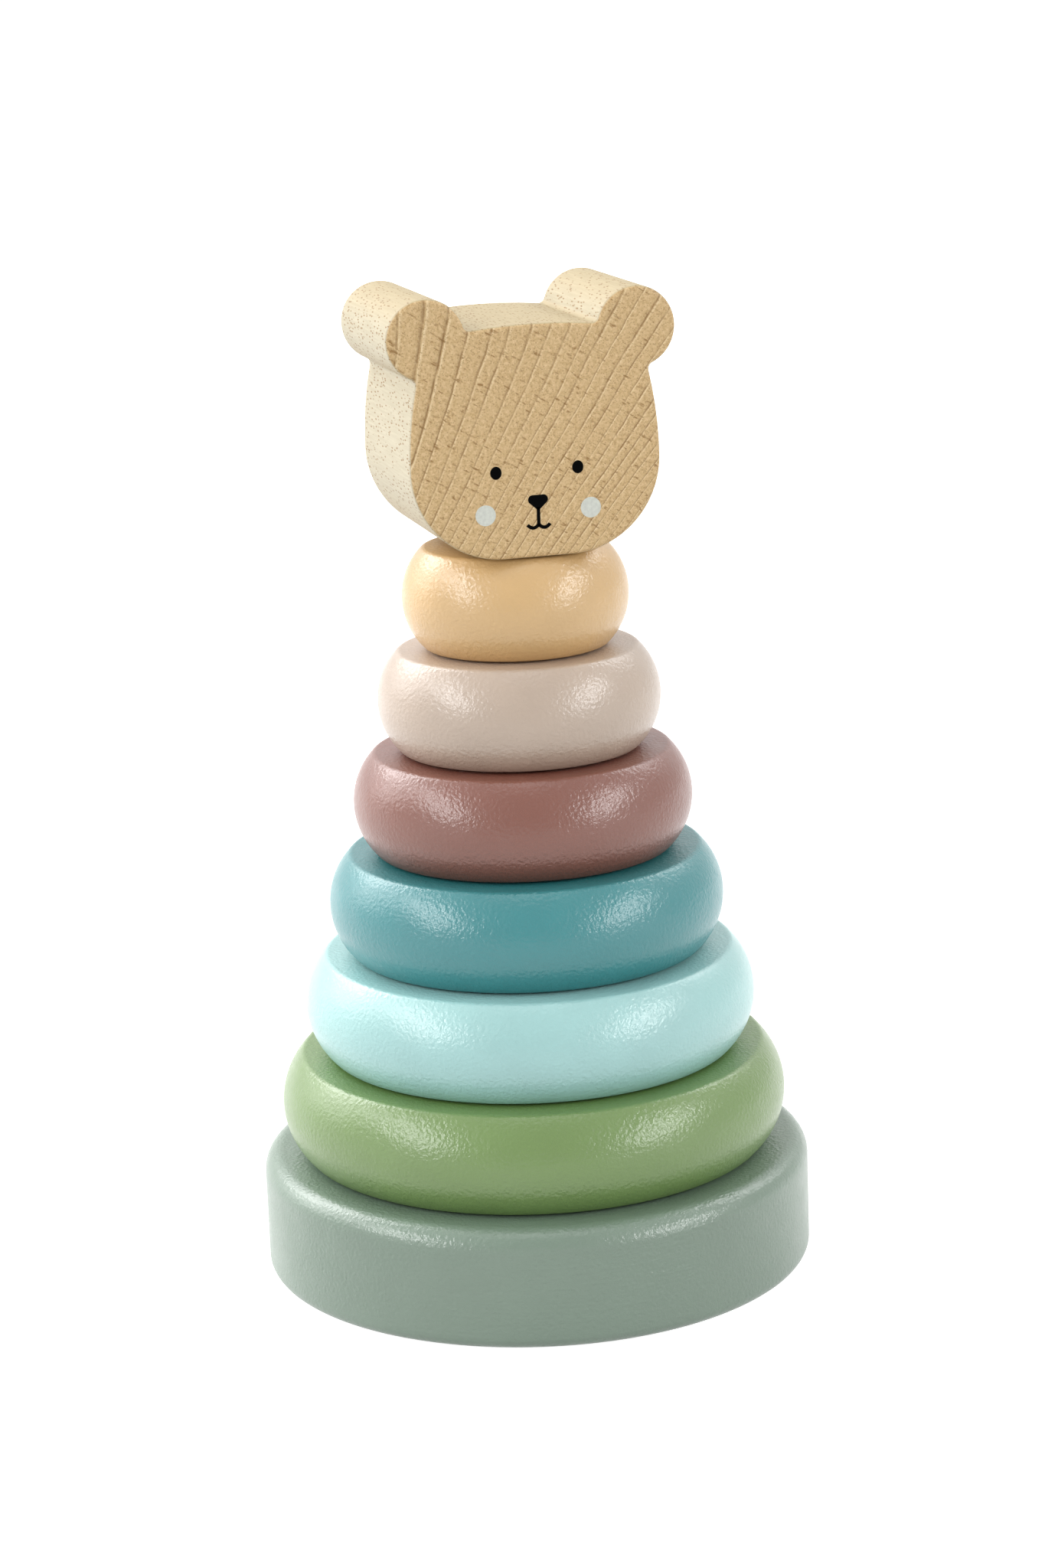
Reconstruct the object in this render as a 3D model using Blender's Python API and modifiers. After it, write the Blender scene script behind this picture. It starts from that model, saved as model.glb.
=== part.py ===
"""Stacking ring toy: a turned base with a glued-in post, six graded rings and a bear-shaped head.

Metres, +Z up. The origin is the centre of the base's underside, and the bear looks towards -Y.
"""

import math

import bmesh
import bpy
from mathutils import Vector

# Base: a turned disc with a blind socket for the post
BASE_DIAMETER = 0.100
BASE_HEIGHT = 0.0215
BASE_FLOOR = 0.0065
BASE_TOP_ROUND = 0.0036
BASE_FOOT_ROUND = 0.0020

# Post: a plain dowel with a rounded tip
POST_DIAMETER = 0.012
POST_REACH_IN_HEAD = 0.018
POST_TIP_ROUND = 0.004
POST_FOOT_CHAMFER = 0.001

# Rings: flat above and below, with a bulging side and a plain bore
TOP_RING_DIAMETER = 0.0405
RING_DIAMETER_STEP = 0.0103
RING_HEIGHT = 0.0182
RING_BULGE = 0.0040
RING_EDGE_ROUND = 0.0014
RING_BORE_CHAMFER = 0.0008

# Head: one slab, sawn to a bear's outline and drilled from below
HEAD_THICKNESS = 0.035
FACE_WIDTH = 0.0446
FACE_HEIGHT = 0.0403
JAW_RADIUS = 0.0163
SIDE_RADIUS = 0.0685
CROWN_RADIUS = 0.100
EAR_RADIUS = 0.0070
EAR_FILLET = 0.0012
HEAD_EDGE_ROUND = 0.0008
HEAD_BORE_SPARE = 0.002

# Fits: play round the post in every bore, glue room in the socket, and the gap where pieces rest
BORE_PLAY = 0.0015
GLUE_GAP = 0.0003
REST_GAP = 0.0003

# Facets
TURN_STEPS = 48
DOWEL_STEPS = 32
ROUND_STEPS = 2
BULGE_STEPS = 6
OUTLINE_ANGLE = math.radians(10)
SHARP_ANGLE = math.radians(35)
MERGE_DISTANCE = 0.00001

# Rings from the base up, with their paint
RINGS = [
    ("green_ring", "8AA36B"),
    ("aqua_ring", "ADDAD5"),
    ("teal_ring", "5C979A"),
    ("mauve_ring", "8F665F"),
    ("pink_ring", "CDBAA8"),
    ("peach_ring", "DEB687"),
]
BASE_PAINT = "93A396"
BEECH = "D6BE94"

# Places that several pieces share
BORE_RADIUS = POST_DIAMETER / 2 + BORE_PLAY
RING_PITCH = RING_HEIGHT + REST_GAP
FIRST_RING_Z = BASE_HEIGHT + REST_GAP
CHIN_Z = FIRST_RING_Z + len(RINGS) * RING_PITCH
POST_TOP_Z = CHIN_Z + POST_REACH_IN_HEAD


def clear_scene():
    for old in list(bpy.data.objects):
        bpy.data.objects.remove(old, do_unlink=True)


def new_collection(name):
    collection = bpy.data.collections.new(name)
    bpy.context.scene.collection.children.link(collection)
    return collection


def linear_colour(hex_code):
    """Linear RGBA of an sRGB hex colour."""
    channels = [int(hex_code[i : i + 2], 16) / 255 for i in (0, 2, 4)]
    return [c / 12.92 if c <= 0.04045 else ((c + 0.055) / 1.055) ** 2.4 for c in channels] + [1]


def finish(name, hex_code, roughness):
    material = bpy.data.materials.new(name)
    material.use_nodes = True
    shader = material.node_tree.nodes["Principled BSDF"]
    shader.inputs["Base Color"].default_value = linear_colour(hex_code)
    shader.inputs["Roughness"].default_value = roughness
    shader.inputs["Metallic"].default_value = 0
    material.diffuse_color = linear_colour(hex_code)
    return material


def arc(centre, radius, start, end, steps):
    """Points of an arc from the angle start to the angle end, both ends included."""
    angles = [start + (end - start) * i / steps for i in range(steps + 1)]
    return [centre + radius * Vector((math.cos(a), math.sin(a))) for a in angles]


def baked(source, name, collection):
    """A mesh object with the evaluated shape of source, welded and shaded, in source's place."""
    evaluated = source.evaluated_get(bpy.context.evaluated_depsgraph_get())
    mesh = bpy.data.meshes.new_from_object(evaluated)
    mesh.name = name
    shape = bmesh.new()
    shape.from_mesh(mesh)
    bmesh.ops.remove_doubles(shape, verts=shape.verts, dist=MERGE_DISTANCE)
    shape.to_mesh(mesh)
    shape.free()
    mesh.shade_smooth()
    mesh.set_sharp_from_angle(angle=SHARP_ANGLE)
    piece = bpy.data.objects.new(name, mesh)
    piece.matrix_world = source.matrix_world
    collection.objects.link(piece)
    bpy.data.objects.remove(source, do_unlink=True)
    return piece


def turned(name, profile, steps, closed, collection):
    """A profile of (radius, height) points, running down its outer side, turned about Z."""
    mesh = bpy.data.meshes.new(name + "_profile")
    edges = [(i, i + 1) for i in range(len(profile) - 1)]
    if closed:
        edges.append((len(profile) - 1, 0))
    mesh.from_pydata([(r, 0, z) for r, z in profile], edges, [])
    lathe = bpy.data.objects.new(name + "_profile", mesh)
    collection.objects.link(lathe)
    screw = lathe.modifiers.new("Turn", "SCREW")
    screw.steps = steps
    screw.render_steps = steps
    screw.use_merge_vertices = True
    screw.merge_threshold = MERGE_DISTANCE
    return baked(lathe, name, collection)


def base_profile():
    """From the middle of the socket's floor, out over the top edge and down to the underside."""
    radius = BASE_DIAMETER / 2
    socket = POST_DIAMETER / 2 + GLUE_GAP
    top_centre = Vector((radius - BASE_TOP_ROUND, BASE_HEIGHT - BASE_TOP_ROUND))
    foot_centre = Vector((radius - BASE_FOOT_ROUND, BASE_FOOT_ROUND))
    return [
        (0, BASE_FLOOR),
        (socket, BASE_FLOOR),
        (socket, BASE_HEIGHT),
        *arc(top_centre, BASE_TOP_ROUND, math.pi / 2, 0, 2 * ROUND_STEPS),
        *arc(foot_centre, BASE_FOOT_ROUND, 0, -math.pi / 2, ROUND_STEPS),
        (0, 0),
    ]


def post_profile():
    """From the tip down to the chamfered foot, which stands in the base's socket."""
    radius = POST_DIAMETER / 2
    foot = BASE_FLOOR + GLUE_GAP
    tip_centre = Vector((radius - POST_TIP_ROUND, POST_TOP_Z - POST_TIP_ROUND))
    return [
        (0, POST_TOP_Z),
        *arc(tip_centre, POST_TIP_ROUND, math.pi / 2, 0, 2 * ROUND_STEPS),
        (radius, foot + POST_FOOT_CHAMFER),
        (radius - POST_FOOT_CHAMFER, foot),
        (0, foot),
    ]


def ring_profile(diameter):
    """A closed section, with its foot at height 0: flat faces, a bulging side and a bore.

    The bulge is one arc, as deep as RING_BULGE between the flat faces. A small fillet, which
    touches the face and the arc, rounds the edge between them.
    """
    half = RING_HEIGHT / 2
    bulge_radius = (half**2 + RING_BULGE**2) / (2 * RING_BULGE)
    bulge_centre = Vector((diameter / 2 - bulge_radius, half))
    rise = half - RING_EDGE_ROUND
    run = math.sqrt((bulge_radius - RING_EDGE_ROUND) ** 2 - rise**2)
    turn = math.atan2(rise, run)
    upper = bulge_centre + Vector((run, rise))
    lower = bulge_centre + Vector((run, -rise))
    return [
        (BORE_RADIUS, RING_HEIGHT - RING_BORE_CHAMFER),
        (BORE_RADIUS + RING_BORE_CHAMFER, RING_HEIGHT),
        *arc(upper, RING_EDGE_ROUND, math.pi / 2, turn, ROUND_STEPS)[:-1],
        *arc(bulge_centre, bulge_radius, turn, -turn, BULGE_STEPS),
        *arc(lower, RING_EDGE_ROUND, -turn, -math.pi / 2, ROUND_STEPS)[1:],
        (BORE_RADIUS + RING_BORE_CHAMFER, 0),
        (BORE_RADIUS, RING_BORE_CHAMFER),
    ]


def circles_meet(centre_a, radius_a, centre_b, radius_b):
    """The two points where two circles cross."""
    apart = centre_b - centre_a
    distance = apart.length
    along = (distance**2 + radius_a**2 - radius_b**2) / (2 * distance)
    across = math.sqrt(radius_a**2 - along**2)
    middle = centre_a + apart * (along / distance)
    side = Vector((-apart.y, apart.x)) * (across / distance)
    return middle + side, middle - side


def heading(centre, point):
    return math.atan2(point.y - centre.y, point.x - centre.x)


def swept(centre, radius, start, end):
    """An arc in steps of at most OUTLINE_ANGLE."""
    return arc(centre, radius, start, end, max(1, math.ceil(abs(end - start) / OUTLINE_ANGLE)))


def head_half_outline():
    """The right half of the bear's outline, from chin to crown, with the chin at height 0.

    Jaw, side and crown are arcs. The ear is a circle on the corner where side and crown
    would meet, and a small fillet joins it to each of them.
    """
    half_width = FACE_WIDTH / 2
    jaw = Vector((half_width - JAW_RADIUS, JAW_RADIUS))
    side = Vector((half_width - SIDE_RADIUS, JAW_RADIUS))
    crown = Vector((0, FACE_HEIGHT - CROWN_RADIUS))
    ear = max(circles_meet(side, SIDE_RADIUS, crown, CROWN_RADIUS), key=lambda p: p.y)

    reach = EAR_RADIUS + EAR_FILLET
    low_fillet = max(circles_meet(ear, reach, side, SIDE_RADIUS + EAR_FILLET), key=lambda p: p.x)
    top_fillet = max(circles_meet(ear, reach, crown, CROWN_RADIUS + EAR_FILLET), key=lambda p: -p.x)

    side_end = heading(side, low_fillet)
    crown_start = heading(crown, top_fillet)
    ear_start = heading(ear, low_fillet)
    ear_end = heading(ear, top_fillet)
    return [
        *swept(jaw, JAW_RADIUS, -math.pi / 2, 0),
        *swept(side, SIDE_RADIUS, 0, side_end)[1:],
        *swept(low_fillet, EAR_FILLET, side_end + math.pi, ear_start + math.pi)[1:],
        *swept(ear, EAR_RADIUS, ear_start, ear_end)[1:],
        *swept(top_fillet, EAR_FILLET, ear_end - math.pi, crown_start - math.pi)[1:],
        *swept(crown, CROWN_RADIUS, crown_start, math.pi / 2)[1:],
    ]


def head_slab(collection):
    """The bear's outline as a slab with rounded edges, standing up with its face to -Y."""
    half = head_half_outline()
    outline = half + [Vector((-p.x, p.y)) for p in reversed(half[:-1])]
    curve = bpy.data.curves.new("head_outline", "CURVE")
    curve.dimensions = "2D"
    curve.fill_mode = "BOTH"
    curve.extrude = HEAD_THICKNESS / 2 - HEAD_EDGE_ROUND
    curve.bevel_depth = HEAD_EDGE_ROUND
    curve.bevel_resolution = 1
    curve.offset = -HEAD_EDGE_ROUND
    spline = curve.splines.new("POLY")
    spline.points.add(len(outline) - 1)
    for point, place in zip(spline.points, outline):
        point.co = (place.x, place.y, 0, 1)
    spline.use_cyclic_u = True
    sawn = bpy.data.objects.new("head_outline", curve)
    sawn.location = (0, 0, CHIN_Z)
    sawn.rotation_euler = (math.pi / 2, 0, 0)
    collection.objects.link(sawn)
    bpy.context.view_layer.update()
    return baked(sawn, "head_slab", collection)


def head_drill(collection):
    """The blind bore that takes the post's tip, with its open end below the chin."""
    depth = POST_REACH_IN_HEAD + HEAD_BORE_SPARE
    mesh = bpy.data.meshes.new("head_bore")
    shape = bmesh.new()
    bmesh.ops.create_cone(
        shape,
        cap_ends=True,
        segments=DOWEL_STEPS,
        radius1=BORE_RADIUS,
        radius2=BORE_RADIUS,
        depth=2 * depth,
    )
    shape.to_mesh(mesh)
    shape.free()
    drill = bpy.data.objects.new("head_bore", mesh)
    drill.location = (0, 0, CHIN_Z)
    drill.hide_render = True
    drill.display_type = "WIRE"
    collection.objects.link(drill)
    return drill


def bear_head(parts, cutters):
    slab = head_slab(parts)
    bore = slab.modifiers.new("Bore", "BOOLEAN")
    bore.operation = "DIFFERENCE"
    bore.solver = "EXACT"
    bore.object = head_drill(cutters)
    bpy.context.view_layer.update()
    return baked(slab, "bear_head", parts)


def rest_on(piece, carrier, height):
    """Place a piece on the toy's axis, carried by the piece below it."""
    piece.parent = carrier
    piece.location = (0, 0, height)


def build_toy():
    clear_scene()
    parts = new_collection("stacking_ring_toy")
    cutters = new_collection("cutters")

    base = turned("base", base_profile(), TURN_STEPS, False, parts)
    base.data.materials.append(finish("base_paint", BASE_PAINT, 0.4))

    beech = finish("beech", BEECH, 0.5)
    post = turned("post", post_profile(), DOWEL_STEPS, False, parts)
    post.data.materials.append(beech)
    rest_on(post, base, 0)

    carrier = base
    for place, (name, paint) in enumerate(RINGS):
        diameter = TOP_RING_DIAMETER + RING_DIAMETER_STEP * (len(RINGS) - 1 - place)
        ring = turned(name, ring_profile(diameter), TURN_STEPS, True, parts)
        ring.data.materials.append(finish(name + "_paint", paint, 0.4))
        rest_on(ring, carrier, RING_PITCH if place else FIRST_RING_Z)
        carrier = ring

    head = bear_head(parts, cutters)
    head.data.materials.append(beech)
    head.parent = carrier
    bpy.context.view_layer.update()
    head.matrix_parent_inverse = carrier.matrix_world.inverted()


build_toy()
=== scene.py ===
"""Looks of the stacking ring toy: painted beech rings on a post, under a bear-shaped beech head.

Metres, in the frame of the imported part: +Z up along the post, the bear looking towards -Y.
"""

import math

import bmesh
import bpy
from mathutils import Matrix, Quaternion, Vector, noise


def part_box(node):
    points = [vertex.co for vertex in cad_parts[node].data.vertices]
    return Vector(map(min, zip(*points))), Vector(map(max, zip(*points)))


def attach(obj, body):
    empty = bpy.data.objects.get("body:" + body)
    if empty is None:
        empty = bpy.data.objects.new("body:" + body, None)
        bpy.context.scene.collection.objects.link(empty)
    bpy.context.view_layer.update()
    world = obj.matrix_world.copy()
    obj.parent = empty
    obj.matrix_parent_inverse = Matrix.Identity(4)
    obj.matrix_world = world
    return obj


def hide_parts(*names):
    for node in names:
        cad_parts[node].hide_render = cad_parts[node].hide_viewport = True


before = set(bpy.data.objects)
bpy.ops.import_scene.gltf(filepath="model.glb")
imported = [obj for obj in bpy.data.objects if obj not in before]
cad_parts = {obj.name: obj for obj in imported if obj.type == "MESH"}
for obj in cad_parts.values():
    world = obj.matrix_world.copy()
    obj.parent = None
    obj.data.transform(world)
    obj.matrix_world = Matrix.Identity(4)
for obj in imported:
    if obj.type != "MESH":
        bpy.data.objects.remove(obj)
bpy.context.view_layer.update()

MM = 0.001

# Turned pieces, as the solids have them
RINGS = ("green_ring", "aqua_ring", "teal_ring", "mauve_ring", "pink_ring", "peach_ring")
RING_BULGE = 4.0 * MM
RING_EDGE_ROUND = 1.4 * MM
BORE_PLAY = 1.5 * MM
BORE_LIP_ROUND = 0.8 * MM
BARE_LIP = 0.1 * MM
BASE_TOP_ROUND = 3.6 * MM
BASE_FOOT_ROUND = 2.0 * MM
SOCKET_GAP = 0.3 * MM
POST_TIP_ROUND = 4.0 * MM
POST_FOOT_ROUND = 1.0 * MM

# Hand sanding before the paint
SANDED_DEPTH = 0.06 * MM
SANDED_PATCH = 14 * MM

# Bear head, as its solid has it
JAW_RADIUS = 16.3 * MM
FACE_WIDTH = 44.6 * MM
FACE_HEIGHT = 40.3 * MM
SIDE_RADIUS = 68.5 * MM
CROWN_RADIUS = 100 * MM
EAR_RADIUS = 7.0 * MM
EAR_FILLET = 1.2 * MM
HEAD_EDGE_ROUND = 0.8 * MM
HEAD_BORE_DEPTH = 20 * MM

# Printed face: heights are above the chin
EYE_SIZE = (2.0 * MM, 2.25 * MM)
EYE_PLACE = (7.3 * MM, 15.2 * MM)
CHEEK_SIZE = (3.6 * MM, 3.6 * MM)
CHEEK_PLACE = (9.4 * MM, 8.0 * MM)
NOSE_WIDTH = 3.54 * MM
NOSE_TOP = 10.9 * MM
NOSE_HEIGHT = 2.6 * MM
NOSE_SHOULDER_ROUND = 0.8 * MM
NOSE_TIP_ROUND = 0.45 * MM
MOUTH_WIDTH = 4.0 * MM
MOUTH_TOP = 5.8 * MM
MOUTH_DROP = 0.6 * MM
MOUTH_FULLNESS = 0.8
STROKE = 0.6 * MM
INK_THICKNESS = 0.05 * MM

# Colours of the beech, each ground from dark to light
END_GRAIN = ("B89460", "E6CB9C")
QUARTER_SAWN = ("AB9E80", "CDC5AE")
# The flat-sawn tone is partly painted shade: on the head it darkens the faces that look up.
FLAT_SAWN_AND_SHADE = ("A3916B", "C3B38F")
EARLY_LINE = "EED9AF"
LATE_LINE = "7D5A2C"
PORE = "A98656"
RAY_DASH = "94703F"
FLECK = "8E6E42"

# Run of the year lines on the sawn face, in millimetres, and how the years crowd together
YEARS_PER_MM = 0.38
YEARS_CROWDING = 0.00125
YEARS_UNEVEN = 0.55
CHANGES_PER_YEAR = 0.8
YEAR_SLANT = 0.62
YEAR_TWIST = 0.011
YEAR_BEND = 0.0075
YEAR_WANDER = 1.4
HEAD_YEARS_FROM = (0, 152)
POST_YEARS_FROM = (30, 45)

# Late wood: how dark it is at each share of the year
LATE_WOOD = ((0.60, 0.0), (0.83, 0.18), (0.92, 1.0), (0.98, 0.0))

# Figure of the beech: how many there are in a millimetre. A pair is across and along
WANDERS_PER_MM = 0.07
BREAKS_PER_MM = 0.55
RAYS_PER_MM = (1.5, 0.30)
RAY_DOTS_PER_MM = 1.4
PORES_PER_MM = 2.4
MOTTLES_PER_MM = 1.6
FLECKS_PER_MM = (1.8, 0.504)
FIBRES_PER_MM = (2.6, 0.12)
GRAIN_DEPTH = 0.05 * MM

# Colours of the paints and inks
PAINTS = {
    "base": "718575",
    "green_ring": "6A8747",
    "aqua_ring": "A0CDCB",
    "teal_ring": "2B8084",
    "mauve_ring": "794637",
    "pink_ring": "B9A695",
    "peach_ring": "D0AB75",
}
BLACK_INK = "050505"
PALE_GREY_INK = "D8DBD2"

# Enamel, varnish and ink: how many in a millimetre, and how deep. The pair is level and up
CLOUDS_PER_MM = 0.06
GLOSS_PATCHES_PER_MM = 0.25
PEEL_PER_MM = 1.5
TURNING_LINES_PER_MM = (0.05, 2.2)
BASE_TURNING = 0.35
PEEL_DEPTH = 0.15 * MM
INK_PATCHES_PER_MM = 1.6
INK_UNEVEN = 0.01 * MM

# Facets
LATHE_STEPS = 192
ROUND_STEPS = 6
BULGE_STEPS = 28
OVAL_STEPS = 48
OUTLINE_ANGLE = math.radians(3)
SHARP_ANGLE = math.radians(40)
WELD = 0.002 * MM

# Camera: its place on the toy's axis of view, worked out from the outlines in the photograph
PHOTO_LONG_SIDE = 2048
SENSOR = 36.0
FOCAL_PIXELS = 4714.0
VIEW_DISTANCE = 0.650
VIEW_RISE = math.radians(14.0)
VIEW_SIDE = math.radians(-14.9)
VIEW_AIM_HEIGHT = 88.4 * MM
VIEW_ROLL = -0.0376

# Studio: the glow lights the toy from all round, and the lift makes the floor white to the eye
LAMP_DISTANCE = 3.0
ROOM_GLOW = 0.27
FLOOR_SIZE = 40
FLOOR_BOUNCE = "B4B4B4"
FLOOR_SEEN = "BCBCBC"
FLOOR_LIFT = 0.85


# Materials


def linear(hex_code):
    """Linear RGBA of an sRGB hex colour."""
    parts = [int(hex_code[i : i + 2], 16) / 255 for i in (0, 2, 4)]
    return tuple(c / 12.92 if c <= 0.04045 else ((c + 0.055) / 1.055) ** 2.4 for c in parts) + (1.0,)


def node(tree, kind, inputs=None, **settings):
    """Add a shader node: settings are its properties, inputs are values or the sockets that feed it.

    Of the numbered inputs, MapRange has the value at 0, its range at 1 and 2 and the new range at 3 and 4.
    Mix has the share at 0, two numbers at 2 and 3 and two colours at 6 and 7.
    """
    made = tree.nodes.new("ShaderNode" + kind)
    for name, value in settings.items():
        setattr(made, name, value)
    for key, value in (inputs or {}).items():
        if isinstance(value, bpy.types.NodeSocket):
            tree.links.new(value, made.inputs[key])
        else:
            made.inputs[key].default_value = value
    return made


def new_material(name):
    """A material with its Principled shader, and object coordinates in millimetres."""
    material = bpy.data.materials.new(name)
    material.use_nodes = True
    tree = material.node_tree
    shader = tree.nodes["Principled BSDF"]
    place = node(tree, "TexCoord")
    millimetres = node(tree, "VectorMath", {0: place.outputs["Object"], "Scale": 1 / MM}, operation="SCALE")
    return material, tree, shader, millimetres.outputs[0], place.outputs["Normal"]


def year_lines(tree, place, x, z):
    """Years of the end grain at x and z across it. Gives how far out a point lies, in millimetres, and
    the shares of the dark late line and the pale early line."""
    # The lines are the curves on which x - slant z - twist x z + bend z^2 is constant
    lean = node(tree, "Math", {0: x, 1: -YEAR_TWIST, 2: -YEAR_SLANT}, operation="MULTIPLY_ADD").outputs[0]
    bend = node(tree, "Math", {0: z, 1: YEAR_BEND, 2: lean}, operation="MULTIPLY_ADD").outputs[0]
    outward = node(tree, "Math", {0: z, 1: bend, 2: x}, operation="MULTIPLY_ADD").outputs[0]
    wander = node(
        tree, "TexNoise", {"Vector": place, "Scale": WANDERS_PER_MM, "Detail": 4, "Roughness": 0.55}
    ).outputs[0]
    bent = node(tree, "Math", {0: wander, 1: YEAR_WANDER, 2: outward}, operation="MULTIPLY_ADD").outputs[0]

    # On the head a year is 3.3 mm wide at one side and 2.1 mm at the other, and no two are alike
    crowd = node(
        tree, "Math", {0: bent, 1: YEARS_CROWDING, 2: YEARS_PER_MM}, operation="MULTIPLY_ADD"
    ).outputs[0]
    even = node(tree, "Math", {0: bent, 1: crowd}, operation="MULTIPLY").outputs[0]
    uneven = node(
        tree, "TexNoise", {"W": even, "Scale": CHANGES_PER_YEAR, "Detail": 1}, noise_dimensions="1D"
    ).outputs[0]
    years = node(tree, "Math", {0: uneven, 1: YEARS_UNEVEN, 2: even}, operation="MULTIPLY_ADD").outputs[0]
    year = node(tree, "Math", {0: years}, operation="FLOOR").outputs[0]
    season = node(tree, "Math", {0: years}, operation="FRACT").outputs[0]

    # Each year's lines have their own strength and are broken here and there
    harvest = node(tree, "TexWhiteNoise", {"W": year}, noise_dimensions="1D").outputs[0]
    strength = node(tree, "MapRange", {0: harvest, 3: 0.60, 4: 1.0}).outputs[0]
    breaks = node(tree, "TexNoise", {"Vector": place, "Scale": BREAKS_PER_MM, "Detail": 3}).outputs[0]
    broken = node(tree, "MapRange", {0: breaks, 1: 0.36, 2: 0.56, 3: 0.40}).outputs[0]
    drawn = node(tree, "Math", {0: strength, 1: broken}, operation="MULTIPLY").outputs[0]
    late_wood = node(tree, "ValToRGB", {0: season})

    # A new ramp has two stops, and the others are added
    stops = late_wood.color_ramp.elements
    for i, (share, dark) in enumerate(LATE_WOOD):
        stop = stops[i] if i < 2 else stops.new(share)
        stop.position = share
        stop.color = (dark, dark, dark, 1)
    late = node(tree, "Math", {0: late_wood.outputs[0], 1: drawn}, operation="MULTIPLY").outputs[0]
    early_wood = node(tree, "MapRange", {0: season, 1: 0.13, 2: 0.02, 4: 0.90}).outputs[0]
    early = node(tree, "Math", {0: early_wood, 1: drawn}, operation="MULTIPLY").outputs[0]
    return outward, late, early


def ray_dashes(tree, place, x, z, outward):
    """Rays: dashes 3 to 4 mm long and 0.3 mm thick, square to the year lines and broken into dots."""
    length = node(tree, "Math", {0: outward, 1: RAYS_PER_MM[1]}, operation="MULTIPLY").outputs[0]
    side = node(tree, "Math", {0: x, 1: YEAR_SLANT, 2: z}, operation="MULTIPLY_ADD").outputs[0]
    thickness = node(tree, "Math", {0: side, 1: RAYS_PER_MM[0]}, operation="MULTIPLY").outputs[0]
    ray_place = node(tree, "CombineXYZ", {0: length, 1: thickness}).outputs[0]
    rays = node(tree, "TexNoise", {"Vector": ray_place, "Scale": 1, "Detail": 3}).outputs[0]
    lines = node(tree, "MapRange", {0: rays, 1: 0.56, 2: 0.66, 4: 0.95}).outputs[0]
    spots = node(tree, "TexNoise", {"Vector": place, "Scale": RAY_DOTS_PER_MM, "Detail": 2}).outputs[0]
    dots = node(tree, "MapRange", {0: spots, 1: 0.44, 2: 0.60}).outputs[0]
    return node(tree, "Math", {0: lines, 1: dots}, operation="MULTIPLY").outputs[0]


def end_grain(tree, place, x, z):
    """Colour and relief of sawn end grain at x and z across it."""
    outward, late, early = year_lines(tree, place, x, z)
    ray = ray_dashes(tree, place, x, z, outward)

    # Pores are under 0.1 mm: drawn 0.3 mm across, so that they show
    spacing = node(tree, "TexVoronoi", {"Vector": place, "Scale": PORES_PER_MM, "Randomness": 1.0})
    pore = node(tree, "MapRange", {0: spacing.outputs["Distance"], 1: 0.42, 2: 0.14, 4: 0.72}).outputs[0]
    mottle = node(
        tree, "TexNoise", {"Vector": place, "Scale": MOTTLES_PER_MM, "Detail": 5, "Roughness": 0.75}
    ).outputs[0]
    speckle = node(tree, "MapRange", {0: mottle, 1: 0.30, 2: 0.70}).outputs[0]
    dark, light = (linear(tone) for tone in END_GRAIN)
    colour = node(tree, "Mix", {0: speckle, 6: dark, 7: light}, data_type="RGBA").outputs[2]
    for share, tint in ((early, EARLY_LINE), (pore, PORE), (ray, RAY_DASH), (late, LATE_LINE)):
        colour = node(tree, "Mix", {0: share, 6: colour, 7: linear(tint)}, data_type="RGBA").outputs[2]
    relief = node(tree, "Math", {0: late, 1: -0.5, 2: speckle}, operation="MULTIPLY_ADD").outputs[0]
    return colour, relief


def long_grain(tree, place, along, flat):
    """Colour and fibres of long grain. flat is 1 where the wood is flat-sawn and 0 where quarter-sawn. On
    the head the flat-sawn faces are the ones that look up, and their darker tone there is partly painted
    shade.
    """
    # Fibres are finer than 0.1 mm: drawn 0.4 mm wide and 8 mm long, so that they show
    stretch = [FIBRES_PER_MM[axis == along] for axis in range(3)]
    fibre_place = node(tree, "VectorMath", {0: place, 1: stretch}, operation="MULTIPLY").outputs[0]
    fibres = node(tree, "TexNoise", {"Vector": fibre_place, "Scale": 1, "Detail": 4}).outputs[0]
    grounds = []
    for tones in (QUARTER_SAWN, FLAT_SAWN_AND_SHADE):
        dark, light = (linear(tone) for tone in tones)
        grounds.append(node(tree, "Mix", {0: fibres, 6: dark, 7: light}, data_type="RGBA").outputs[2])
    ground = node(tree, "Mix", {0: flat, 6: grounds[0], 7: grounds[1]}, data_type="RGBA").outputs[2]

    # Flecks are 0.3 mm wide and 1 mm long
    stretch = [FLECKS_PER_MM[axis == along] for axis in range(3)]
    fleck_place = node(tree, "VectorMath", {0: place, 1: stretch}, operation="MULTIPLY").outputs[0]
    spacing = node(tree, "TexVoronoi", {"Vector": fleck_place, "Scale": 1})
    fleck = node(tree, "MapRange", {0: spacing.outputs["Distance"], 1: 0.34, 2: 0.16}).outputs[0]
    colour = node(tree, "Mix", {0: fleck, 6: ground, 7: linear(FLECK)}, data_type="RGBA").outputs[2]
    return colour, fibres
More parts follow.
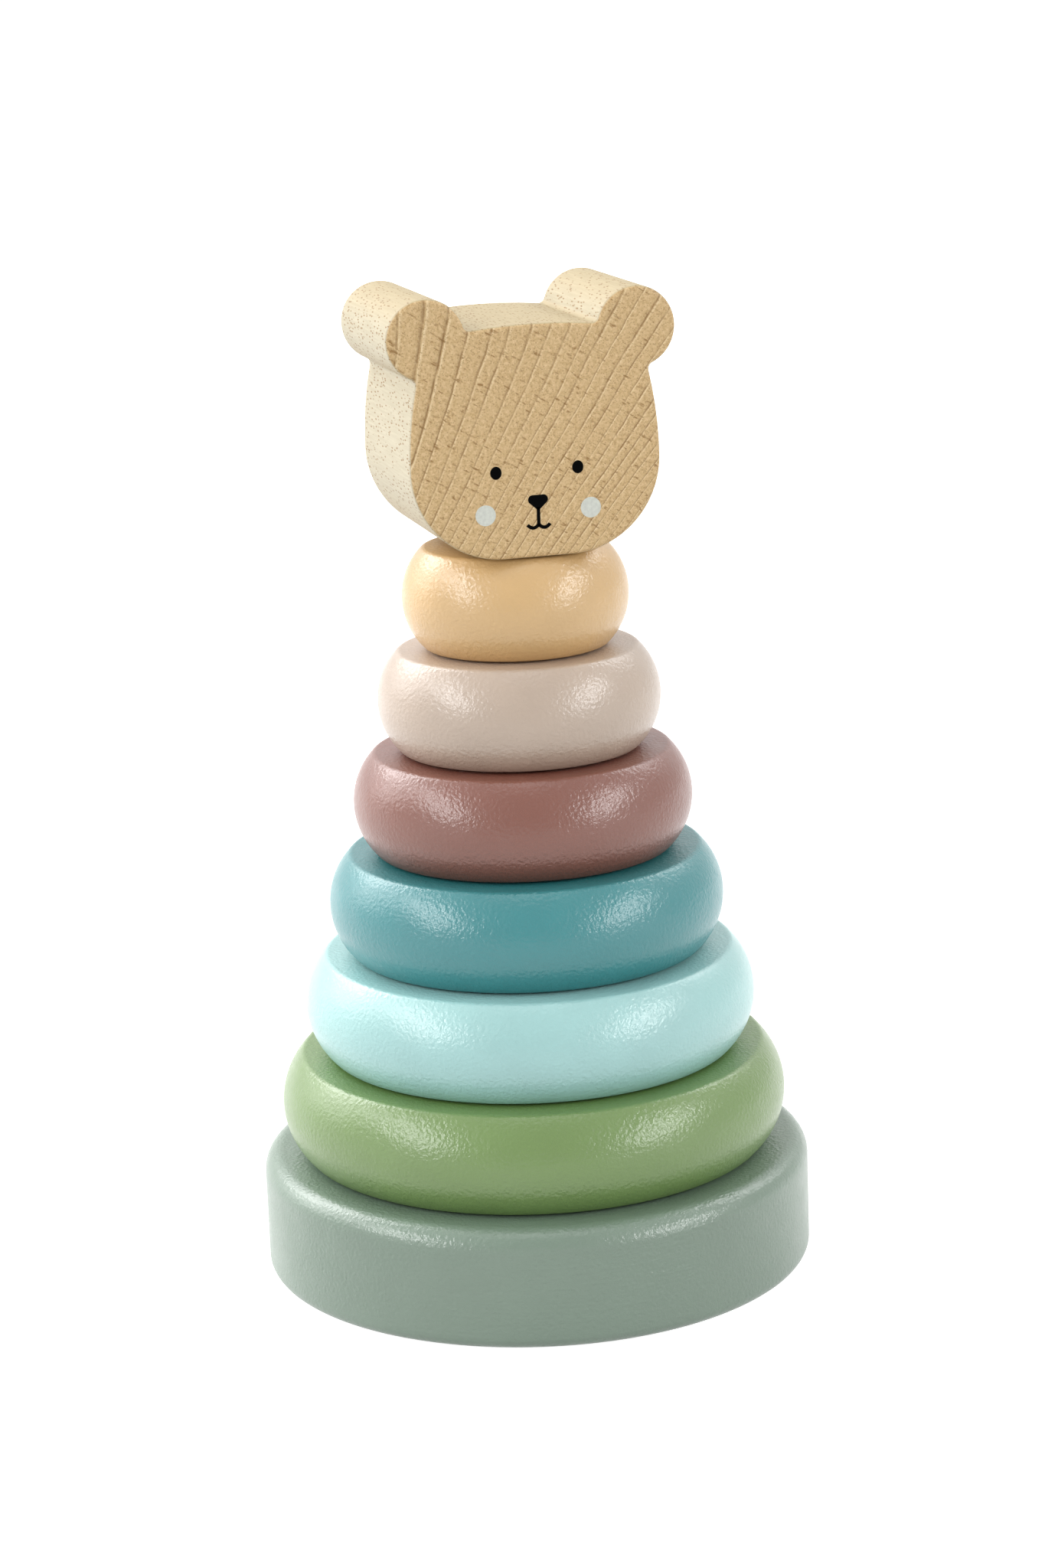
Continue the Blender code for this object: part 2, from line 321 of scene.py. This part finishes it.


# Beech: a pale, close-grained wood, sawn or turned, sanded and oiled. Long grain is cream on quarter-sawn
# sides and honey on flat-sawn ones, with short dark ray flecks. On the head the flat-sawn faces look up,
# and
# their honey is partly painted shade: it is darker than the wood alone so that the crown and ear tops stay
# dim under the lamps above. End grain drinks the oil: it is tan, with thin broken year lines, a pale line
# beside each, ray dashes across them and fine pores all over.
def beech(name, along, years_from):
    """Solid beech whose grain runs along one axis (0, 1 or 2). years_from is the place, in millimetres on
    the two axes across the grain, from which the year lines bend and crowd together."""
    material, tree, shader, place, normal = new_material(name)
    across = [axis for axis in range(3) if axis != along]
    split = node(tree, "SeparateXYZ", {0: place})
    x, z = (
        node(tree, "Math", {0: split.outputs[axis], 1: start}, operation="SUBTRACT").outputs[0]
        for axis, start in zip(across, years_from)
    )
    facing = node(tree, "SeparateXYZ", {0: normal})
    end_on = node(tree, "Math", {0: facing.outputs[along]}, operation="ABSOLUTE").outputs[0]
    flat_and_shade_on = node(tree, "Math", {0: facing.outputs[across[1]]}, operation="ABSOLUTE").outputs[0]
    ease = "SMOOTHSTEP"
    end = node(tree, "MapRange", {0: end_on, 1: 0.40, 2: 0.75}, interpolation_type=ease).outputs[0]
    # On the head this mask picks the faces that look up, reaching onto the upper sides of the ears: their
    # darker flat-sawn tone is partly painted shade.
    flat = node(tree, "MapRange", {0: flat_and_shade_on, 1: 0.25, 2: 0.85}, interpolation_type=ease).outputs[0]

    tan, grooves = end_grain(tree, place, x, z)
    cream, fibres = long_grain(tree, place, along, flat)
    wood = node(tree, "Mix", {0: end, 6: cream, 7: tan}, data_type="RGBA").outputs[2]
    tree.links.new(wood, shader.inputs["Base Color"])
    polish = node(tree, "MapRange", {0: fibres, 3: 0.45, 4: 0.60}).outputs[0]
    tree.links.new(polish, shader.inputs["Roughness"])
    grain = node(tree, "Mix", {0: end, 2: fibres, 3: grooves}).outputs[0]
    bump = node(tree, "Bump", {"Strength": 0.6, "Distance": GRAIN_DEPTH, "Height": grain}).outputs[0]
    tree.links.new(bump, shader.inputs["Normal"])
    shader.inputs["IOR"].default_value = 1.45
    return material


# Painted beech: sprayed coats of water-based enamel on a sealed, turned blank, under a clear satin varnish.
# The enamel gives the colour, a little cloudy, and a soft haze round the lights. The varnish pulls into a
# fine orange peel that breaks the highlights up. Faint turning lines can show through both.
def painted_beech(name, hex_code, turning=0.0):
    """Varnished enamel of one colour. turning is how much the lathe's lines show through it."""
    material, tree, shader, place, _ = new_material(name)
    clouds = node(
        tree, "TexNoise", {"Vector": place, "Scale": CLOUDS_PER_MM, "Detail": 7, "Roughness": 0.65}
    ).outputs[0]
    shade = node(tree, "MapRange", {0: clouds, 1: 0.3, 2: 0.7, 3: 0.95, 4: 1.05}).outputs[0]
    colour = {0: 1.0, 6: linear(hex_code), 7: shade}
    paint = node(tree, "Mix", colour, data_type="RGBA", blend_type="MULTIPLY").outputs[2]
    tree.links.new(paint, shader.inputs["Base Color"])
    patches = node(
        tree, "TexNoise", {"Vector": place, "Scale": GLOSS_PATCHES_PER_MM, "Detail": 2}
    ).outputs[0]
    haze = node(tree, "MapRange", {0: patches, 3: 0.40, 4: 0.60}).outputs[0]
    tree.links.new(haze, shader.inputs["Roughness"])

    level, up = TURNING_LINES_PER_MM
    turned = node(tree, "VectorMath", {0: place, 1: (level, level, up)}, operation="MULTIPLY").outputs[0]
    lines = node(tree, "TexNoise", {"Vector": turned, "Scale": 1, "Detail": 2}).outputs[0]
    peel = node(
        tree, "TexNoise", {"Vector": place, "Scale": PEEL_PER_MM, "Detail": 2, "Roughness": 0.5}
    ).outputs[0]
    relief = node(tree, "Math", {0: lines, 1: turning, 2: peel}, operation="MULTIPLY_ADD").outputs[0]
    bump = node(tree, "Bump", {"Strength": 1.0, "Distance": PEEL_DEPTH, "Height": relief}).outputs[0]
    for socket in ("Normal", "Coat Normal"):
        tree.links.new(bump, shader.inputs[socket])
    shader.inputs["IOR"].default_value = 1.50
    shader.inputs["Coat Weight"].default_value = 0.6
    shader.inputs["Coat IOR"].default_value = 1.65
    shader.inputs["Coat Roughness"].default_value = 0.215
    return material


# Printing ink: a thin matt film stamped on the wood. It is nearly without gloss, and slightly uneven where
# the grain takes less of it.
def printing_ink(name, hex_code):
    """Matt ink of one colour."""
    material, tree, shader, place, _ = new_material(name)
    patches = node(tree, "TexNoise", {"Vector": place, "Scale": INK_PATCHES_PER_MM, "Detail": 4}).outputs[0]
    shade = node(tree, "MapRange", {0: patches, 1: 0.3, 2: 0.7, 3: 0.9, 4: 1.06}).outputs[0]
    colour = {0: 1.0, 6: linear(hex_code), 7: shade}
    ink = node(tree, "Mix", colour, data_type="RGBA", blend_type="MULTIPLY").outputs[2]
    tree.links.new(ink, shader.inputs["Base Color"])
    matt = node(tree, "MapRange", {0: patches, 3: 0.5, 4: 0.7}).outputs[0]
    tree.links.new(matt, shader.inputs["Roughness"])
    bump = node(tree, "Bump", {"Strength": 0.3, "Distance": INK_UNEVEN, "Height": patches}).outputs[0]
    tree.links.new(bump, shader.inputs["Normal"])
    shader.inputs["Specular IOR Level"].default_value = 0.02
    return material


# Shapes


def arc(centre, radius, start, end, steps):
    """Points of an arc from the angle start to the angle end, both ends included."""
    angles = [start + (end - start) * i / steps for i in range(steps + 1)]
    return [Vector((centre[0] + radius * math.cos(a), centre[1] + radius * math.sin(a))) for a in angles]


def shown(name, shape, materials):
    """Turn a bmesh into a smooth-shaded object in the scene."""
    mesh = bpy.data.meshes.new(name)
    bmesh.ops.recalc_face_normals(shape, faces=shape.faces)
    shape.to_mesh(mesh)
    shape.free()
    mesh.shade_smooth()
    mesh.set_sharp_from_angle(angle=SHARP_ANGLE)
    for material in materials:
        mesh.materials.append(material)
    piece = bpy.data.objects.new(name, mesh)
    bpy.context.scene.collection.objects.link(piece)
    return piece


def lathe(profile, closed):
    """Turn a profile of (radius, height) points about Z."""
    shape = bmesh.new()
    verts = [shape.verts.new((r, 0, z)) for r, z in profile]
    edges = [shape.edges.new(pair) for pair in zip(verts, verts[1:])]
    if closed:
        edges.append(shape.edges.new((verts[-1], verts[0])))
    bmesh.ops.spin(
        shape,
        geom=verts + edges,
        cent=(0, 0, 0),
        axis=(0, 0, 1),
        angle=math.tau,
        steps=LATHE_STEPS,
        use_merge=True,
    )
    bmesh.ops.remove_doubles(shape, verts=shape.verts, dist=WELD)
    return shape


def hand_sanded(shape):
    """Take off a little here and there, as hand sanding does before the paint."""
    for vert in shape.verts:
        out = Vector((vert.co.x, vert.co.y, 0))
        if out.length > 0:
            depth = 0.5 + 0.5 * noise.noise(vert.co / SANDED_PATCH)
            vert.co -= out.normalized() * SANDED_DEPTH * depth


# Turned pieces


def ring_profile(radius, foot, height, bore):
    """A ring's closed section: flat faces, a bulging side with soft edges, and a bore with round lips."""
    half = height / 2
    bulge_radius = (half**2 + RING_BULGE**2) / (2 * RING_BULGE)
    bulge_centre = (radius - bulge_radius, foot + half)
    rise = half - RING_EDGE_ROUND
    run = math.sqrt((bulge_radius - RING_EDGE_ROUND) ** 2 - rise**2)
    turn = math.atan2(rise, run)
    edge_x = bulge_centre[0] + run
    lip_x = bore + BORE_LIP_ROUND
    top = foot + height
    quarter = math.pi / 2
    return [
        *arc((lip_x, top - BORE_LIP_ROUND), BORE_LIP_ROUND, 2 * quarter, quarter, ROUND_STEPS),
        *arc((edge_x, top - RING_EDGE_ROUND), RING_EDGE_ROUND, quarter, turn, ROUND_STEPS)[:-1],
        *arc(bulge_centre, bulge_radius, turn, -turn, BULGE_STEPS),
        *arc((edge_x, foot + RING_EDGE_ROUND), RING_EDGE_ROUND, -turn, -quarter, ROUND_STEPS)[1:],
        *arc((lip_x, foot + BORE_LIP_ROUND), BORE_LIP_ROUND, -quarter, -2 * quarter, ROUND_STEPS),
    ]


def half_width(node_name):
    """Half of a solid's width: its radius where it is turned."""
    low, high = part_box(node_name)
    return (high.x - low.x) / 2


def ring(node_name, paint, bare_wood):
    """One ring: painted outside, bare wood in the bore up to the start of its lips."""
    low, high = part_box(node_name)
    bore = half_width("post") + BORE_PLAY
    shape = lathe(ring_profile(half_width(node_name), low.z, high.z - low.z, bore), closed=True)
    for face in shape.faces:
        middle = face.calc_center_median()
        face.material_index = int(math.hypot(middle.x, middle.y) < bore + BARE_LIP)
    hand_sanded(shape)
    piece = shown(node_name + "_turned", shape, [paint, bare_wood])
    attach(piece, node_name)
    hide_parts(node_name)


def base(paint):
    """The base disc, with a blind socket for the post."""
    low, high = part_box("base")
    socket_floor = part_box("post")[0].z - SOCKET_GAP
    socket = half_width("post") + SOCKET_GAP
    radius = half_width("base")
    top_centre = (radius - BASE_TOP_ROUND, high.z - BASE_TOP_ROUND)
    foot_centre = (radius - BASE_FOOT_ROUND, low.z + BASE_FOOT_ROUND)
    wall = [
        Vector((radius, top_centre[1] + (foot_centre[1] - top_centre[1]) * i / BULGE_STEPS))
        for i in range(1, BULGE_STEPS)
    ]
    profile = [
        Vector((0, socket_floor)),
        Vector((socket, socket_floor)),
        Vector((socket, high.z)),
        *arc(top_centre, BASE_TOP_ROUND, math.pi / 2, 0, 2 * ROUND_STEPS),
        *wall,
        *arc(foot_centre, BASE_FOOT_ROUND, 0, -math.pi / 2, ROUND_STEPS),
        Vector((0, low.z)),
    ]
    shape = lathe(profile, closed=False)
    hand_sanded(shape)
    piece = shown("base_turned", shape, [paint])
    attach(piece, "stand")
    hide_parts("base")


def post(bare_wood):
    """The dowel, from its foot in the socket to its rounded tip."""
    low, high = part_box("post")
    radius = half_width("post")
    tip_centre = (radius - POST_TIP_ROUND, high.z - POST_TIP_ROUND)
    foot_centre = (radius - POST_FOOT_ROUND, low.z + POST_FOOT_ROUND)
    profile = [
        Vector((0, high.z)),
        *arc(tip_centre, POST_TIP_ROUND, math.pi / 2, 0, 2 * ROUND_STEPS),
        *arc(foot_centre, POST_FOOT_ROUND, 0, -math.pi / 2, ROUND_STEPS),
        Vector((0, low.z)),
    ]
    piece = shown("post_dowel", lathe(profile, closed=False), [bare_wood])
    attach(piece, "stand")
    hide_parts("post")


# Bear head


def circles_meet(centre_a, radius_a, centre_b, radius_b):
    """The two points where two circles cross."""
    apart = centre_b - centre_a
    along = (apart.length**2 + radius_a**2 - radius_b**2) / (2 * apart.length)
    across = math.sqrt(radius_a**2 - along**2)
    middle = centre_a + apart.normalized() * along
    side = Vector((-apart.y, apart.x)).normalized() * across
    return middle + side, middle - side


def heading(centre, point):
    """The angle at which a point is seen from a centre."""
    return math.atan2(point.y - centre.y, point.x - centre.x)


def swept(centre, radius, start, end):
    """An arc in steps of at most OUTLINE_ANGLE."""
    return arc(centre, radius, start, end, max(2, math.ceil(abs(end - start) / OUTLINE_ANGLE)))


def head_outline():
    """The bear's outline, chin at height 0: jaw, side and crown arcs, and ears on their corners."""
    half = FACE_WIDTH / 2
    jaw = Vector((half - JAW_RADIUS, JAW_RADIUS))
    side = Vector((half - SIDE_RADIUS, JAW_RADIUS))
    crown = Vector((0, FACE_HEIGHT - CROWN_RADIUS))
    ear = max(circles_meet(side, SIDE_RADIUS, crown, CROWN_RADIUS), key=lambda p: p.y)
    reach = EAR_RADIUS + EAR_FILLET
    low = max(circles_meet(ear, reach, side, SIDE_RADIUS + EAR_FILLET), key=lambda p: p.x)
    top = min(circles_meet(ear, reach, crown, CROWN_RADIUS + EAR_FILLET), key=lambda p: p.x)
    side_end, crown_start = heading(side, low), heading(crown, top)
    ear_start, ear_end = heading(ear, low), heading(ear, top)
    right = [
        *swept(jaw, JAW_RADIUS, -math.pi / 2, 0),
        *swept(side, SIDE_RADIUS, 0, side_end)[1:],
        *swept(low, EAR_FILLET, side_end + math.pi, ear_start + math.pi)[1:],
        *swept(ear, EAR_RADIUS, ear_start, ear_end)[1:],
        *swept(top, EAR_FILLET, ear_end - math.pi, crown_start - math.pi)[1:],
        *swept(crown, CROWN_RADIUS, crown_start, math.pi / 2)[1:],
    ]
    return right + [Vector((-p.x, p.y)) for p in reversed(right[:-1])]


def inset(outline, depth):
    """The outline drawn in by depth, square to itself."""
    drawn = []
    for i, point in enumerate(outline):
        along = outline[(i + 1) % len(outline)] - outline[i - 1]
        inward = Vector((-along.y, along.x)).normalized()
        drawn.append(point + inward * depth)
    return drawn


def bear_head(wood):
    """The slab with eased edges, drilled from below for the post."""
    low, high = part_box("bear_head")
    outline = head_outline()
    shape = bmesh.new()
    loops = []
    for sign, steps in ((-1, range(ROUND_STEPS + 1)), (1, range(ROUND_STEPS, -1, -1))):
        face_y = low.y if sign < 0 else high.y
        for i in steps:
            angle = math.pi / 2 * i / ROUND_STEPS
            depth = face_y - sign * HEAD_EDGE_ROUND * (1 - math.cos(angle))
            drawn = inset(outline, HEAD_EDGE_ROUND * (1 - math.sin(angle)))
            loops.append([shape.verts.new((p.x, depth, low.z + p.y)) for p in drawn])
    for near, far in zip(loops, loops[1:]):
        for i in range(len(near)):
            shape.faces.new((near[i - 1], near[i], far[i], far[i - 1]))
    shape.faces.new(loops[0])
    shape.faces.new(loops[-1])
    slab = shown("head_slab", shape, [wood])

    cutter = bmesh.new()
    bore = half_width("post") + BORE_PLAY
    bmesh.ops.create_cone(
        cutter,
        cap_ends=True,
        segments=LATHE_STEPS // 2,
        radius1=bore,
        radius2=bore,
        depth=2 * HEAD_BORE_DEPTH,
        matrix=Matrix.Translation((0, 0, low.z)),
    )
    drill = shown("head_drill", cutter, [wood])
    cut = slab.modifiers.new("Bore", "BOOLEAN")
    cut.object = drill
    bpy.context.view_layer.update()
    mesh = bpy.data.meshes.new_from_object(slab.evaluated_get(bpy.context.evaluated_depsgraph_get()))
    mesh.set_sharp_from_angle(angle=SHARP_ANGLE)
    piece = bpy.data.objects.new("bear_head_sawn", mesh)
    bpy.context.scene.collection.objects.link(piece)
    flat = piece.modifiers.new("Flat faces", "WEIGHTED_NORMAL")
    flat.keep_sharp = True
    for done in (slab, drill):
        bpy.data.objects.remove(done, do_unlink=True)
    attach(piece, "bear_head")
    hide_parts("bear_head")


# Printed face


def printed(name, outline, ink):
    """A film of ink on the front of the head, from an outline in (across, height above the chin)."""
    low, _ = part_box("bear_head")
    shape = bmesh.new()
    back = [shape.verts.new((p[0], low.y, low.z + p[1])) for p in outline]
    front = [shape.verts.new((p[0], low.y - INK_THICKNESS, low.z + p[1])) for p in outline]
    shape.faces.new(front)
    shape.faces.new(back)
    for i in range(len(outline)):
        shape.faces.new((back[i - 1], back[i], front[i], front[i - 1]))
    piece = shown(name, shape, [ink])
    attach(piece, "bear_head")


def oval(place, size, side):
    """An upright oval on one side of the face: side is -1 or 1."""
    turns = [math.tau * i / OVAL_STEPS for i in range(OVAL_STEPS)]
    return [
        (side * place[0] + size[0] / 2 * math.cos(t), place[1] + size[1] / 2 * math.sin(t)) for t in turns
    ]


def nose_outline():
    """A triangle standing on its tip, with full shoulders. Its sides touch the arcs of shoulder and tip."""
    shoulder = Vector((NOSE_WIDTH / 2 - NOSE_SHOULDER_ROUND, NOSE_TOP - NOSE_SHOULDER_ROUND))
    tip = Vector((0, NOSE_TOP - NOSE_HEIGHT + NOSE_TIP_ROUND))
    opening = math.acos((NOSE_TIP_ROUND - NOSE_SHOULDER_ROUND) / (shoulder - tip).length)
    side = heading(tip, shoulder) - opening
    steps = 2 * ROUND_STEPS
    right = [
        *arc(tip, NOSE_TIP_ROUND, -math.pi / 2, side, steps),
        *arc(shoulder, NOSE_SHOULDER_ROUND, side, math.pi / 2, steps),
    ]
    return right + [Vector((-p.x, p.y)) for p in reversed(right[1:])]


def mouth_line(side):
    """From the foot of the stem, down and out to one corner of the mouth."""
    steps = 4 * ROUND_STEPS
    half = MOUTH_WIDTH / 2
    line = []
    for i in range(steps + 1):
        drop = MOUTH_DROP * math.sin(math.pi * i / steps) ** MOUTH_FULLNESS
        line.append(Vector((side * half * i / steps, MOUTH_TOP - drop)))
    return line


def stroke_outline(line, width):
    """A pen stroke of one width along a line."""
    sides = ([], [])
    for i, point in enumerate(line):
        along = line[min(i + 1, len(line) - 1)] - line[max(i - 1, 0)]
        across = Vector((-along.y, along.x)).normalized() * width / 2
        sides[0].append(point + across)
        sides[1].append(point - across)
    return sides[0] + list(reversed(sides[1]))


def face_print(black, pale_grey):
    """Eyes, cheeks, nose and mouth."""
    for side, word in ((-1, "left"), (1, "right")):
        printed("eye_print_" + word, oval(EYE_PLACE, EYE_SIZE, side), black)
        printed("cheek_print_" + word, oval(CHEEK_PLACE, CHEEK_SIZE, side), pale_grey)
        printed("mouth_print_" + word, stroke_outline(mouth_line(side), STROKE), black)
    printed("nose_print", nose_outline(), black)
    stem = [Vector((0, NOSE_TOP - NOSE_HEIGHT + NOSE_TIP_ROUND)), Vector((0, MOUTH_TOP))]
    printed("stem_print", stroke_outline(stem, STROKE), black)


# Camera, lights and floor


def toward(side, rise, distance):
    """A place seen from the toy at a side angle (0 is straight in front of the bear) and a rise."""
    level = math.cos(rise) * distance
    return Vector((math.sin(side) * level, -math.cos(side) * level, math.sin(rise) * distance))


def camera():
    """The photograph's camera."""
    data = bpy.data.cameras.new("camera")
    data.sensor_width = SENSOR
    data.lens = FOCAL_PIXELS * SENSOR / PHOTO_LONG_SIDE
    data.clip_start = 0.01
    piece = bpy.data.objects.new("camera", data)
    aim = Vector((0, 0, VIEW_AIM_HEIGHT))
    away = toward(VIEW_SIDE, VIEW_RISE, VIEW_DISTANCE)
    upright = (-away).to_track_quat("-Z", "Y").to_matrix()
    roll = Matrix.Rotation(VIEW_ROLL, 3, "Z")
    piece.matrix_world = Matrix.Translation(aim + away) @ (upright @ roll).to_4x4()
    bpy.context.scene.collection.objects.link(piece)
    bpy.context.scene.camera = piece


def softbox(name, side, rise, lean, size, power):
    """A studio light of a width and height, turned to the middle of the toy. side is from the camera,
    and lean turns it clockwise as the toy sees it."""
    data = bpy.data.lights.new(name, "AREA")
    data.shape = "RECTANGLE"
    data.size, data.size_y = size
    data.energy = power
    lamp = bpy.data.objects.new(name, data)
    away = toward(VIEW_SIDE + math.radians(side), math.radians(rise), LAMP_DISTANCE)
    lamp.location = away + Vector((0, 0, VIEW_AIM_HEIGHT))
    lamp.rotation_mode = "QUATERNION"
    lamp.rotation_quaternion = (-away).to_track_quat("-Z", "Y") @ Quaternion((0, 0, 1), math.radians(lean))
    bpy.context.scene.collection.objects.link(lamp)


def seen_directly(tree):
    """1 for what the eye sees, also in gloss and through glass, and 0 for what only lights other things."""
    path = node(tree, "LightPath")
    eye = path.outputs["Is Camera Ray"]
    for ray in ("Is Glossy Ray", "Is Transmission Ray"):
        eye = node(tree, "Math", {0: eye, 1: path.outputs[ray]}, operation="MAXIMUM").outputs[0]
    return eye


def studio():
    """White room: an even glow, a panel above, a softbox and a rim light at each side, and one fill."""
    world = bpy.data.worlds.new("studio")
    bpy.context.scene.world = world
    world.use_nodes = True
    tree = world.node_tree
    sky = tree.nodes["Background"]
    sky.inputs["Color"].default_value = (1, 1, 1, 1)
    glow = node(tree, "MapRange", {0: seen_directly(tree), 3: ROOM_GLOW, 4: 1.0})
    tree.links.new(glow.outputs[0], sky.inputs["Strength"])
    softbox("left_softbox", side=-62, rise=27, lean=45, size=(0.60, 2.65), power=56)
    softbox("right_softbox", side=62, rise=22, lean=-45, size=(0.53, 2.40), power=49)
    softbox("left_fill", side=-113, rise=23, lean=0, size=(1.80, 1.80), power=28)
    softbox("left_rim_light", side=-138, rise=44, lean=25, size=(1.65, 2.30), power=68)
    softbox("right_rim_light", side=130, rise=41, lean=-23, size=(0.93, 1.40), power=19)
    softbox("overhead_panel", side=0, rise=80, lean=0, size=(1.65, 1.35), power=10)


def floor():
    """Pale floor: white to the eye, with the toy's shadow on it, and grey in the light it throws back."""
    bpy.ops.mesh.primitive_plane_add(size=FLOOR_SIZE, location=(0, 0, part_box("base")[0].z))
    piece = bpy.context.object
    piece.name = "floor"
    material = bpy.data.materials.new("white_floor")
    material.use_nodes = True
    tree = material.node_tree
    shader = tree.nodes["Principled BSDF"]
    shader.inputs["Roughness"].default_value = 0.9
    eye = seen_directly(tree)
    tones = {0: eye, 6: linear(FLOOR_BOUNCE), 7: linear(FLOOR_SEEN)}
    tone = node(tree, "Mix", tones, data_type="RGBA")
    tree.links.new(tone.outputs[2], shader.inputs["Base Color"])
    lift = node(tree, "Math", {0: eye, 1: FLOOR_LIFT}, operation="MULTIPLY")
    glow = node(tree, "Emission", {"Strength": lift.outputs[0]})
    both = node(tree, "AddShader", {0: shader.outputs[0], 1: glow.outputs[0]})
    tree.links.new(both.outputs[0], tree.nodes["Material Output"].inputs["Surface"])
    piece.data.materials.append(material)


# The toy in its studio
bpy.context.scene.view_settings.view_transform = "Standard"
camera()
studio()
floor()

head_wood = beech("beech_oiled", along=1, years_from=HEAD_YEARS_FROM)
bare_wood = beech("beech_bare", along=2, years_from=POST_YEARS_FROM)
base(painted_beech("grey_green_enamel", PAINTS["base"], turning=BASE_TURNING))
post(bare_wood)
for name in RINGS:
    ring(name, painted_beech(name.replace("_ring", "_enamel"), PAINTS[name]), bare_wood)
bear_head(head_wood)
face_print(printing_ink("black_ink", BLACK_INK), printing_ink("pale_grey_ink", PALE_GREY_INK))
